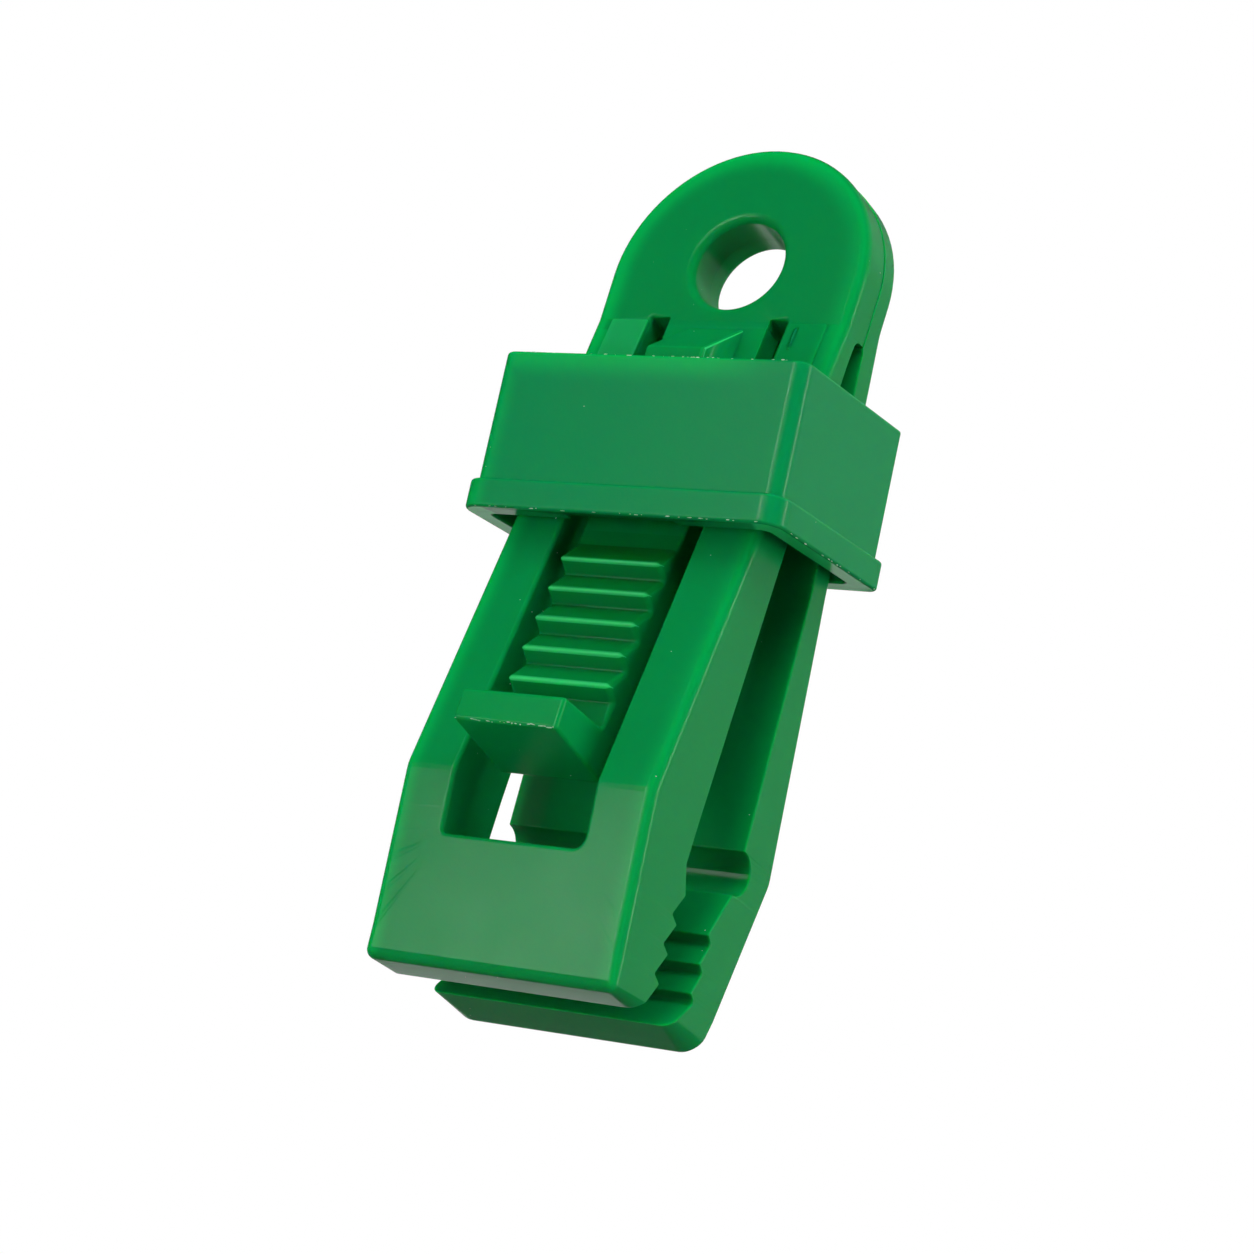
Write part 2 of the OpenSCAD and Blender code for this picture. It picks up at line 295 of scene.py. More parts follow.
def fillFace(bm, rings, loops, lines, flip):
    # fills one face between its rings with triangles that never cross a bend line
    verts = [v for ring in rings for v, _, _ in ring]
    points = [p for ring in rings for _, p, _ in ring]
    stations = [station for ring in rings for _, _, station in ring]
    spans, edges, start = [], [], 0
    for ring in rings:
        count = len(ring)
        edges += [(start + i, start + (i + 1) % count) for i in range(count)]
        spans.append(points[start:start + count])
        start += count
    for height in lines:
        row = sorted((i for i, station in enumerate(stations) if station == height),
                     key=lambda i: points[i].x)
        for i, j in zip(row, row[1:]):
            if (points[j] - points[i]).length > 0.01 and insidePlastic(
                    (points[i] + points[j]) / 2, spans, loops):
                edges.append((i, j))
    corners, _, triangles, sources, _, _ = delaunay_2d_cdt(points, edges, [], 1, 1e-5)
    for triangle in triangles:
        centre = sum((corners[i] for i in triangle), Vector((0, 0))) / 3
        if not insidePlastic(centre, spans, loops):
            continue
        if not all(sources[i] for i in triangle):
            print("face left open near", [round(c, 2) for c in centre])
            continue
        made = [verts[sources[i][0]] for i in triangle]
        bm.faces.new(made[::-1] if flip else made)


def insideLoop(p, loop):
    inside = False
    for a, b in zip(loop, loop[1:] + loop[:1]):
        if (a.y > p.y) != (b.y > p.y) and p.x < a.x + (b.x - a.x) * (p.y - a.y) / (b.y - a.y):
            inside = not inside
    return inside


def insidePlastic(p, spans, loops):
    return all(insideLoop(p, span) != loop.hole for span, loop in zip(spans, loops))


def finishSolid(piece, material):
    piece.data.materials.clear()
    piece.data.materials.append(material)
    weighted = piece.modifiers.new("faceWeighted", "WEIGHTED_NORMAL")
    weighted.weight, weighted.thresh, weighted.keep_sharp = 100, 0.01, True
    bake(piece)
    print(piece.name + ":", len(piece.data.polygons), "faces")
    return piece


def bake(piece):
    # turns a piece and its modifiers into one plain mesh
    bpy.context.view_layer.update()
    graph = bpy.context.evaluated_depsgraph_get()
    mesh = bpy.data.meshes.new_from_object(piece.evaluated_get(graph), depsgraph=graph,
                                           preserve_all_data_layers=True)
    piece.modifiers.clear()
    piece.data = mesh


def join(piece, other, operation):
    # cuts other out of piece, or makes the two one solid
    change = piece.modifiers.new("join", "BOOLEAN")
    change.operation, change.solver, change.object = operation, "EXACT", other
    bake(piece)
    bpy.data.objects.remove(other)


def looseSolid(name, bm):
    mesh = bpy.data.meshes.new(name)
    for f in bm.faces:
        f.smooth = True
    bm.to_mesh(mesh)
    bm.free()
    solid = bpy.data.objects.new(name, mesh)
    bpy.context.scene.collection.objects.link(solid)
    return solid


# Materials: one translucent green plastic, moulded for the body and for the collar

def newGroup(name, inputs, outputs, kind="ShaderNodeTree"):
    group = bpy.data.node_groups.new(name, kind)
    for label, socketKind, value in inputs:
        socket = group.interface.new_socket(label, in_out="INPUT",
                                            socket_type="NodeSocket" + socketKind)
        if value is not None:
            socket.default_value = value
    for label, socketKind in outputs:
        group.interface.new_socket(label, in_out="OUTPUT", socket_type="NodeSocket" + socketKind)
    return group, group.nodes.new("NodeGroupInput").outputs, group.nodes.new("NodeGroupOutput")


def newMaterial(name):
    material = bpy.data.materials.new(name)
    material.use_nodes = True
    return material, material.node_tree, material.node_tree.nodes["Principled BSDF"]


def fillSockets(tree, node, inputs):
    # inputs go by name, or by number as _0, _1; each is a value or another node's socket
    for key, value in inputs.items():
        socket = node.inputs[int(key[1:]) if key.startswith("_") else key]
        if isinstance(value, bpy.types.NodeSocket):
            tree.links.new(value, socket)
        else:
            socket.default_value = value


def addNode(tree, kind, settings=None, **inputs):
    node = tree.nodes.new(kind)
    for key, value in (settings or {}).items():
        setattr(node, key, value)
    fillSockets(tree, node, inputs)
    return node


def useGroup(tree, group, inputs):
    return addNode(tree, "ShaderNodeGroup", {"node_tree": group}, **inputs).outputs


def maths(tree, operation, a, b=0.0, c=0.0, clamp=False):
    return addNode(tree, "ShaderNodeMath", {"operation": operation, "use_clamp": clamp},
                   _0=a, _1=b, _2=c).outputs[0]


def product(tree, value, *factors):
    for factor in factors:
        value = maths(tree, "MULTIPLY", value, factor)
    return value


def mixColour(tree, factor, a, b):
    node = addNode(tree, "ShaderNodeMix", {"data_type": "RGBA"}, _0=factor, _6=a, _7=b)
    return node.outputs[2]


def mapRange(tree, value, low, high, first=0.0, last=1.0, kind="LINEAR"):
    return addNode(tree, "ShaderNodeMapRange", {"interpolation_type": kind}, _0=value, _1=low,
                   _2=high, _3=first, _4=last).outputs[0]


def between01(tree, value, low, high):
    return mapRange(tree, value, low, high, kind="SMOOTHSTEP")


def noise(tree, place, scale, detail, roughness=0.5):
    return addNode(tree, "ShaderNodeTexNoise", _0=place, _2=scale, _3=detail,
                   _4=roughness).outputs[0]


def coordinates(tree, kind="Object"):
    return addNode(tree, "ShaderNodeTexCoord").outputs[kind]


def axes(tree, vector):
    return addNode(tree, "ShaderNodeSeparateXYZ", _0=vector).outputs


def marked(tree, attribute):
    return addNode(tree, "ShaderNodeAttribute", {"attribute_name": attribute}).outputs["Fac"]


# Settings inside the groups. A noise is (scale, detail, roughness), and a pair is the two
# values that a mask rises between.
rimLook = {"cloud": (140.0, 3.0), "crest": (0.93, 1.0)}
grainLook = {"wave": (90.0, 2.0), "grain": (2600.0, 3.0), "smear": (210.0, 5.0, 0.62)}
bandLook = {"loss": (0.3, 0.9), "facing": (0.45, 0.9)}
shadeLook = {"behindTab": -0.0115, "atEnd": 0.1, "upward": (-0.2, 0.6), "gain": 0.6,
             "least": 0.35}
dustLook = {"smallest": 0.4}


def buildPaintedRimGlow():
    # painted glow: thin moulded edges are coloured clearer and brighter than the flats, standing
    # in for light that shines through them; a painted highlight colour goes where the
    # painted-highlight attribute is high
    group, given, out = newGroup("paintedRimGlow", [
        ("Plastic", "Color", (0.0, 0.3, 0.1, 1)), ("Rim", "Color", (0, 0.4, 0.1, 1)),
        ("Band", "Float", 0.0), ("Band Strength", "Float", 0.7),
        ("Edge Strength", "Float", 0.5), ("Painted Highlight", "Color", (0, 0.6, 0.2, 1)),
        ("Patches", "Float", 0.3)], [("Color", "Color")])
    cloud = noise(group, coordinates(group), *rimLook["cloud"])
    wander = maths(group, "ADD", product(group, maths(group, "SUBTRACT", cloud, 0.5),
                                         given["Patches"]), 1.0)
    edges = product(group, marked(group, "rim"), given["Edge Strength"])
    band = product(group, given["Band"], wander, given["Band Strength"])
    colour = mixColour(group, maths(group, "MAXIMUM", edges, band, clamp=True),
                       given["Plastic"], given["Rim"])
    crest = between01(group, marked(group, "crest"), *rimLook["crest"])
    fillSockets(group, out, {"Color": mixColour(group, crest, colour, given["Painted Highlight"])})
    return group


def buildMouldGrain():
    # the fine unevenness of a moulded face: a slow wave, a fine grain and greasy smudges
    group, given, out = newGroup("mouldGrain", [
        ("Roughness", "Float", 0.3), ("Smudge", "Float", 0.12), ("Wave", "Float", 0.6),
        ("Grain", "Float", 0.25)], [("Roughness", "Float"), ("Height", "Float")])
    place = coordinates(group)
    wave, grain, smear = (noise(group, place, *grainLook[k]) for k in ("wave", "grain", "smear"))
    height = maths(group, "ADD", product(group, wave, given["Wave"]),
                   product(group, grain, given["Grain"]))
    patch = product(group, maths(group, "SUBTRACT", smear, 0.5), given["Smudge"])
    roughness = maths(group, "ADD", given["Roughness"], patch, clamp=True)
    fillSockets(group, out, {"Roughness": roughness, "Height": height})
    return group


def buildPaintedEdgeGlow():
    # painted glow: a soft band of brighter colour along the outer edges of the front and back
    # faces, standing in for light that gets in there; it is weaker on the right side
    group, given, out = newGroup("paintedEdgeGlow", [
        ("Place", "Vector", (0, 0, 0)), ("Half Width", "Float", 0.014),
        ("Arch Centre", "Float", 0.0), ("Top", "Float", 1.0), ("Foot", "Float", -1.0),
        ("Reach", "Float", 0.003), ("Right Loss", "Float", 0.5)], [("Mask", "Float")])
    x, _, z = axes(group, given["Place"])
    above = maths(group, "MAXIMUM", maths(group, "SUBTRACT", z, given["Arch Centre"]))
    spread = maths(group, "SQRT", maths(group, "ADD", product(group, x, x),
                                        product(group, above, above)))
    side = maths(group, "SUBTRACT", given["Half Width"], spread)
    top = maths(group, "SUBTRACT", given["Top"], z)
    foot = maths(group, "SUBTRACT", z, given["Foot"])
    nearest = maths(group, "MINIMUM", side, maths(group, "MINIMUM", top, foot))
    band = mapRange(group, nearest, 0.0, given["Reach"], 1.0, 0.0, "SMOOTHERSTEP")
    facing = maths(group, "ABSOLUTE", axes(group, coordinates(group, "Normal"))[1])
    sideways = maths(group, "DIVIDE", x, given["Half Width"])
    lost = product(group, between01(group, sideways, *bandLook["loss"]), given["Right Loss"])
    mask = product(group, band, maths(group, "SUBTRACT", 1.0, lost),
                   between01(group, facing, *bandLook["facing"]))
    fillSockets(group, out, {"Mask": mask})
    return group


def buildRatchetShade():
    # painted shade: the tongue lies between the rails and under the collar, so its ramps are
    # painted darker, those that face upwards most
    group, given, out = newGroup("ratchetShade", [
        ("Place", "Vector", (0, 0, 0)), ("Rise", "Float", -0.019),
        ("Deepest", "Float", -0.035), ("End", "Float", -0.058), ("Tab", "Float", -0.0125)],
        [("Mask", "Float")])
    look = shadeLook
    _, y, z = axes(group, given["Place"])
    rise = mapRange(group, z, given["Rise"], given["Deepest"])
    fall = mapRange(group, z, given["Deepest"], given["End"], 1.0, look["atEnd"])
    behind = mapRange(group, y, given["Tab"], look["behindTab"])
    up = axes(group, coordinates(group, "Normal"))[2]
    facing = maths(group, "MULTIPLY_ADD", between01(group, up, *look["upward"]), look["gain"],
                   look["least"])
    mask = product(group, rise, fall, behind, facing, marked(group, "shade"))
    fillSockets(group, out, {"Mask": mask})
    return group


def buildDust():
    # sparse pale specks that lie on the plastic
    group, given, out = newGroup("dust", [
        ("Spacing", "Float", 1100.0), ("Size", "Float", 0.055), ("Share", "Float", 0.06)],
        [("Mask", "Float")])
    cells = addNode(group, "ShaderNodeTexVoronoi", _0=coordinates(group),
                    Scale=given["Spacing"]).outputs
    pick = addNode(group, "ShaderNodeSeparateColor", _0=cells["Color"]).outputs
    size = product(group, given["Size"], maths(group, "ADD", pick[1], dustLook["smallest"]))
    dot = maths(group, "LESS_THAN", cells["Distance"], size)
    chosen = maths(group, "LESS_THAN", pick[0], given["Share"])
    fillSockets(group, out, {"Mask": product(group, dot, chosen)})
    return group


paintedRimGlow, paintedEdgeGlow, ratchetShade = buildPaintedRimGlow(), buildPaintedEdgeGlow(), buildRatchetShade()
mouldGrain, dust = buildMouldGrain(), buildDust()

# rim is the painted rim glow colour, the next the painted highlight colour, the next the
# ratchet's painted shade
plasticLook = {
    "rim": (0.0, 0.52, 0.095, 1), "crest": (0.03, 0.58, 0.18, 1),
    "deep": (0.0, 0.1, 0.008, 1),
    "speck": (0.45, 0.62, 0.5, 1),
    "gloss": 0.23, "reflects": 0.45, "depth": 1.1 * mm, "spread": (0.12, 1.0, 0.25),
    "bump": 0.25, "bumpDepth": 0.05 * mm,
}
plastics = {
    "bodyPlastic": {
        "place": (0, 0, 0), "lean": 0.0, "halfWidth": 14.6, "arch": -1.2, "top": 100.0,
        "foot": -82.0, "reach": 3.4, "rightLoss": 0.55, "band": 0.8, "edge": 0.2,
        "flat": (0.001, 0.258, 0.06, 1), "smudge": 0.16, "specks": 0.06,
    },
    "collarPlastic": {
        "place": (0, 3.6, -2.5), "lean": 8.6, "halfWidth": 17.6, "arch": 100.0, "top": -10.5,
        "foot": -30.0, "reach": 3.6, "rightLoss": 0.9, "band": 0.6, "edge": 0.0,
        "flat": (0.001, 0.265, 0.078, 1), "smudge": 0.12, "specks": 0.04,
    },
}


def plastic(name):
    look, own = plasticLook, plastics[name]
    material, tree, shader = newMaterial(name)
    place = coordinates(tree)
    upright = addNode(tree, "ShaderNodeMapping", {"vector_type": "TEXTURE"}, _0=place,
                      Location=[c * mm for c in own["place"]],
                      Rotation=(math.radians(own["lean"]), 0, 0))
    # painted edge glow, then painted rim glow with painted highlight, grain, dust and painted
    # shade
    band = useGroup(tree, paintedEdgeGlow, {
        "Place": upright.outputs[0], "Half Width": own["halfWidth"] * mm,
        "Arch Centre": own["arch"] * mm, "Top": own["top"] * mm, "Foot": own["foot"] * mm,
        "Reach": own["reach"] * mm, "Right Loss": own["rightLoss"]})
    glow = useGroup(tree, paintedRimGlow, {
        "Plastic": own["flat"], "Rim": look["rim"], "Band": band["Mask"],
        "Band Strength": own["band"], "Edge Strength": own["edge"], "Painted Highlight": look["crest"]})
    grain = useGroup(tree, mouldGrain, {"Roughness": look["gloss"], "Smudge": own["smudge"]})
    specks = useGroup(tree, dust, {"Share": own["specks"]})
    shade = useGroup(tree, ratchetShade, {"Place": place})
    # painted shade on the ratchet, then pale dust specks
    shaded = mixColour(tree, shade["Mask"], glow["Color"], look["deep"])
    bump = addNode(tree, "ShaderNodeBump", Strength=look["bump"], Distance=look["bumpDepth"],
                   Height=grain["Height"])
    fillSockets(tree, shader, {
        "Base Color": mixColour(tree, specks["Mask"], shaded, look["speck"]),
        "Roughness": grain["Roughness"], "Normal": bump.outputs["Normal"],
        "Specular IOR Level": look["reflects"], "Subsurface Weight": 1.0,
        "Subsurface Radius": look["spread"], "Subsurface Scale": look["depth"]})
    return material


bodyPlastic, collarPlastic = plastic("bodyPlastic"), plastic("collarPlastic")
print("plastics mixed")


# Flash: small pale burrs that trimming leaves along moulded edges
flash = {
    "colour": (0.55, 0.80, 0.62, 1), "thinColour": (0.16, 0.52, 0.24, 1), "gloss": 0.45,
    "cloud": (1500.0, 2.0), "thinFrom": (0.35, 0.65), "least": (0.6, 0.5, 0.5), "widest": 1.3,
}


def flashMaterial():
    material, tree, shader = newMaterial("flashPlastic")
    cloud = noise(tree, coordinates(tree), *flash["cloud"])
    tint = mixColour(tree, between01(tree, cloud, *flash["thinFrom"]), flash["thinColour"],
                     flash["colour"])
    fillSockets(tree, shader, {"Base Color": tint, "Roughness": flash["gloss"]})
    return material


def buildFlashTree():
    # short strips of burr strewn along a path, each one turned and stretched at random
    tree, given, out = newGroup("flashAlongEdge", [
        ("Path", "Geometry", None), ("Spacing", "Float", 0.0005), ("Share", "Float", 0.3),
        ("Thickness", "Float", 0.00005), ("Length", "Float", 5.0),
        ("Wander", "Float", 0.00005), ("Seed", "Int", 1), ("Finish", "Material", None)],
        [("Flash", "Geometry")], "GeometryNodeTree")

    def randomOf(kind, seedStep, output, **values):
        seed = maths(tree, "ADD", given["Seed"], seedStep)
        return addNode(tree, "FunctionNodeRandomValue", {"data_type": kind}, Seed=seed,
                       **values).outputs[output]

    curve = addNode(tree, "GeometryNodeMeshToCurve", _0=given["Path"]).outputs[0]
    points = addNode(tree, "GeometryNodeResampleCurve", {"mode": "LENGTH"}, Curve=curve,
                     Length=given["Spacing"]).outputs[0]
    step = addNode(tree, "ShaderNodeVectorMath", {"operation": "SCALE"},
                   _0=randomOf("FLOAT_VECTOR", 1, 0, _0=(-1, -1, -1), _1=(1, 1, 1)),
                   Scale=given["Wander"]).outputs["Vector"]
    moved = addNode(tree, "GeometryNodeSetPosition", Geometry=points, Offset=step)
    tangent = addNode(tree, "GeometryNodeInputTangent").outputs[0]
    turn = addNode(tree, "FunctionNodeAlignRotationToVector", {"axis": "X"}, Vector=tangent)
    ball = addNode(tree, "GeometryNodeMeshIcoSphere", Radius=given["Thickness"], _1=1)
    longest = addNode(tree, "ShaderNodeCombineXYZ", _0=given["Length"],
                      _1=flash["widest"], _2=flash["widest"]).outputs[0]
    strewn = addNode(tree, "GeometryNodeInstanceOnPoints", Points=moved.outputs[0],
                     Selection=randomOf("BOOLEAN", 2, 3, _6=given["Share"]),
                     Instance=ball.outputs["Mesh"], Rotation=turn.outputs[0],
                     Scale=randomOf("FLOAT_VECTOR", 3, 0, _0=flash["least"], _1=longest))
    real = addNode(tree, "GeometryNodeRealizeInstances", _0=strewn.outputs[0])
    finished = addNode(tree, "GeometryNodeSetMaterial", _0=real.outputs[0],
                       Material=given["Finish"])
    fillSockets(tree, out, {"Flash": finished.outputs[0]})
    return tree


flashTree, flashPlastic = buildFlashTree(), flashMaterial()


def addFlash(name, paths, bodySlot, turn=None, **values):
    # paths are polylines in millimetres; turn is the matrix that puts them in place
    bm = bmesh.new()
    for path in paths:
        verts = [bm.verts.new([c * mm for c in p]) for p in path]
        for a, b in zip(verts, verts[1:]):
            bm.edges.new((a, b))
    piece = looseSolid(name, bm)
    if turn:
        piece.data.transform(turn)
    modifier = piece.modifiers.new("flash", "NODES")
    modifier.node_group = flashTree
    values = {"Finish": flashPlastic, **values}
    for item in flashTree.interface.items_tree:
        if item.in_out == "INPUT" and item.name in values:
            modifier[item.identifier] = values[item.name]
    bake(piece)
    print(name + ":", len(piece.data.polygons), "faces")
    return piece


# The clip's body: a front and a back moulding half that meet in the parting plane
body = {
    "eyeRadius": 14.75, "eyeCentre": -1.2, "holeRadius": 5.0, "holeEdge": 0.9,
    "parting": 0.3, "partingStep": 0.1, "root": -6.7, "bendEnd": -14.0,
    "fork": 0.95, "forkCentre": (-0.35, -8.09), "forkStart": (0.04, -7.39), "forkEnd": -4,
    "forkAngles": {"front": (15, 30, 42, 55, 70, 86), "back": (55, 70, 86)},
    "tipEdgeRise": 3.0, "tipEdgeOver": 2.5,
    "sides": [(14.75, 0), (14.65, -10), (14.2, -31), (14.17, -60), (14.15, -74), (14.15, -80)],
}
frontArm = {
    "outer": [(-3.6, 20, 0), (-3.6, -6.7, 0.3), (-11.59, -59.5, 3), (-8.42, -78.2, 0)],
    "end": -78.2, "tip": -78.18, "endCorner": 0.9, "tipCorner": 1.3,
    "edge": 1.1, "endEdge": 0.9, "innerEdge": 0.2,
    "window": (-8.15, 7.75), "windowTop": -6.35, "windowEnd": -65.8, "windowTopRound": 0.25,
    "windowCorners": (0.5, 1.3), "windowEdge": 0.45, "windowInnerEdge": 0.25,
    "strapHalf": 5.8, "strapRoot": -7.45, "strapEdge": 0.03, "stubMargin": (0.3, 0.2),
    "inner": [(-1.3, -8.09, 0), (-1.83, -32, 4), (-2.59, -59.5, 2), (-2.59, -63.5, 0.6)],
    "toothTips": [-66.1, -69.03, -71.96, -74.89], "toothPitch": 2.29,
    "tipDepth": -1.2, "rootDepth": -2.5, "lip": (-3.5, -78.18), "tipRound": 0.15,
    "rootRound": 0.25,
}
rearArm = {
    "outer": [(2.95, 20, 0), (2.95, -4.5, 6), (8.4, -34, 10), (12.85, -59.5, 3),
              (9.3, -78.4, 0)],
    # how much narrower the arm is on its left than on its right, by height
    "leftIn": [(0, 0), (0, -10), (1.1, -31), (1.2, -60), (0.9, -74), (0.9, -80)],
    "end": -78.4, "lip": (2.4, -77.7), "endCorner": 2.0, "lipCorner": 1.2,
    "edge": 0.7, "endEdge": 1.4, "innerEdge": 0.2,
    "inner": [(0.6, -8.09, 0), (4.86, -32, 4), (6.42, -58.5, 0.25)],
    "groove": (6.42, -60.7), "grooveRadius": 2.2, "grooveLip": 0.3, "grooveRound": 0.2,
    "grooveStep": 8,
    "toothTips": [-67.8, -70.73, -73.66], "tipDepth": 4.3, "rootDepth": 5.3,
    "toothSteep": 0.64, "tipRound": 0.15, "rootRound": 0.45,
}


def clipOutline(end, corner, grow=0.0, leftIn=((0, 0),)):
    # the eye's round top and the two long sides, anticlockwise seen from the front
    radius, centre = body["eyeRadius"] + grow, body["eyeCentre"]
    points = []
    for a in range(0, 181, roundStep["eye"]):
        out = Vector(onCircle(1, a))
        points.append(EdgePoint(radius * out.x, centre + radius * out.y, out))
    sides = [(x + grow, z) for x, z in body["sides"]]
    footRight = pathValue(sides, end)
    footLeft = pathValue(leftIn, end) - footRight
    foot = outline([(footLeft, 0, 0), (footLeft, end, corner), (footRight, end, corner),
                    (footRight, 0, 0)])
    left, right = Vector((-1, 0)), Vector((1, 0))
    points += [EdgePoint(pathValue(leftIn, z) - x, z, left) for x, z in sides[1:-1]]
    points += foot[1:-1]
    points += [EdgePoint(x, z, right) for x, z in sides[-2:0:-1]]
    return points


def windowOutline():
    # the window, with the stub that carries the tongue at its top; clockwise, as a hole
    s = frontArm
    (w0, w1), end, (left, right) = s["window"], s["windowEnd"], s["windowCorners"]
    top, stub, strap, r = s["windowTop"], s["strapRoot"], s["strapHalf"], s["windowTopRound"]
    return outline([(w0, top, r), (-strap, top, r), (-strap, stub, 0), (strap, stub, 0),
                    (strap, top, r), (w1, top, r), (w1, end, right), (w0, end, left)])


def forkTop(side):
    # one side of the rounded top of the slot between the arms
    radius, (y, z), (step, backStart) = body["fork"], body["forkCentre"], body["forkStart"]
    sign, start = 1, [(body["parting"], backStart)]
    if side == "front":
        sign, start = -1, [(body["parting"], z + radius + step), (y, z + radius)]
    rounding = [onCircle(radius, a) for a in body["forkAngles"][side]]
    return start + [(y + sign * over, z + up) for up, over in rounding]


def frontInner():
    s = frontArm
    corners = list(s["inner"])
    for tip in s["toothTips"]:
        corners += [(s["tipDepth"], tip, s["tipRound"]),
                    (s["rootDepth"], tip - s["toothPitch"], s["rootRound"])]
    return forkTop("front") + softPath(corners + [(*s["lip"], 0)])


def rearInner():
    s = rearArm
    (y, z), radius, step = s["groove"], s["grooveRadius"], s["grooveStep"]
    lip = y + s["grooveLip"]
    upper = softPath(s["inner"] + [(lip, z + radius, 0)])[:-1]
    rounding = [onCircle(radius, a) for a in range(step, 181 - step, step)]
    groove = [(y + over, z + up) for up, over in rounding]
    corners = [(lip, z - radius, 0), (y, z - radius, s["grooveRound"])]
    for tip in s["toothTips"]:
        corners += [(s["tipDepth"], tip, s["tipRound"]),
                    (s["rootDepth"], tip - s["toothSteep"], s["rootRound"])]
    return forkTop("back") + upper + groove + softPath(corners + [(*s["lip"], 0)])[1:]


def armEdges(arm):
    # The rounding of an arm's outer edge, which changes over the last few millimetres of the
    # jaw, and of its inner edge, which is sharp where the halves meet
    def outer(u, v):
        t = min(1.0, max(0.0, (arm["end"] + body["tipEdgeRise"] - v) / body["tipEdgeOver"]))
        return arm["edge"] + (arm["endEdge"] - arm["edge"]) * t

    def inner(u, v):
        return sharpEdge if v > body["forkCentre"][1] else arm["innerEdge"]

    return outer, inner


def makeFrontHalf():
    s = frontArm
    outer, inner = softPath(s["outer"]), frontInner()
    outerEdge, innerEdge = armEdges(s)
    aside, above = s["stubMargin"]

    def windowEdge(u, v):
        atStub = v > s["strapRoot"] - above and abs(u) < s["strapHalf"] + aside
        return s["strapEdge"] if atStub else s["windowEdge"]

    return plateMesh(
        [Loop(clipOutline(s["end"], s["endCorner"]), outerEdge, innerEdge,
              clipOutline(s["tip"], s["tipCorner"])),
         Loop(holeOutline(body["holeRadius"]), body["holeEdge"], sharpEdge, hole=True),
         Loop(windowOutline(), windowEdge, s["windowInnerEdge"], hole=True)],
        along(outer), along(inner),
        heights(outer, 0, s["end"]), heights(inner, body["forkEnd"], s["tip"]))


def makeRearHalf():
    s, grow = rearArm, body["partingStep"]
    outer, inner, lip = softPath(s["outer"]), rearInner(), s["lip"][1]
    outerEdge, innerEdge = armEdges(s)
    return plateMesh(
        [Loop(clipOutline(lip, s["lipCorner"], grow, s["leftIn"]), innerEdge, outerEdge,
              clipOutline(s["end"], s["endCorner"], grow, s["leftIn"])),
         Loop(holeOutline(body["holeRadius"]), sharpEdge, body["holeEdge"], hole=True)],
        along(inner), along(outer),
        heights(inner, body["forkEnd"], lip), heights(outer, 0, s["end"]))


pads = {
    "from": 8.2, "to": 12.6, "top": -6.75, "foot": -16.0, "lift": 0.25, "depth": 1.0,
    # the left pad's painted sheen level, and how far in front of the arm's face a point must lie
    # to get it
    "corner": 0.3, "edgeShare": 0.9, "padSheen": 0.955, "sheenAbove": 0.1,
    "rib": (9.15, 9.65, -7.3, -10.2), "ribLift": 0.5, "ribCorner": 0.1,  # left to foot
}


def raisedPlate(name, left, right, top, foot, lift, corner):
    # a low flat-topped plate on the front arm's face
    face = softPath(frontArm["outer"])
    points = outline([(left, top, corner), (left, foot, corner), (right, foot, corner),
                      (right, top, corner)])
    return looseSolid(name, plateMesh(
        [Loop(points, lift * pads["edgeShare"], sharpEdge)],
        lambda v: pathValue(face, v) - lift, lambda v: pathValue(face, v) + pads["depth"],
        heights(face, top, foot), heights(face, top, foot)))


def paintLeftPadSheen(mesh):
    # painted sheen: marks the left pad's face so that it is painted paler than the plastic round
    # it, as a painted reflection
    face, level = softPath(frontArm["outer"]), mesh.attributes["crest"].data
    for i, vert in enumerate(mesh.vertices):
        x, y, z = vert.co / mm
        onPad = pads["foot"] < z < pads["top"] and -pads["to"] < x < -pads["from"]
        if onPad and y < pathValue(face, z) - pads["sheenAbove"]:
            level[i].value = pads["padSheen"]


frontHalf = looseSolid("frontMoulding", makeFrontHalf())
for name, left, right in (("leftPad", -pads["to"], -pads["from"]),
                          ("rightPad", pads["from"], pads["to"])):
    join(frontHalf, raisedPlate(name, left, right, pads["top"], pads["foot"], pads["lift"],
                                pads["corner"]), "UNION")
join(frontHalf, raisedPlate("padRib", *pads["rib"], pads["ribLift"], pads["ribCorner"]),
     "UNION")
paintLeftPadSheen(frontHalf.data)
finishSolid(frontHalf, bodyPlastic)
rearHalf = finishSolid(looseSolid("rearMoulding", makeRearHalf()),
                       bodyPlastic)
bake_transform(frontHalf)
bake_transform(rearHalf)
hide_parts("eye_lug", "front_arm")
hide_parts("eye_lug", "rear_arm")

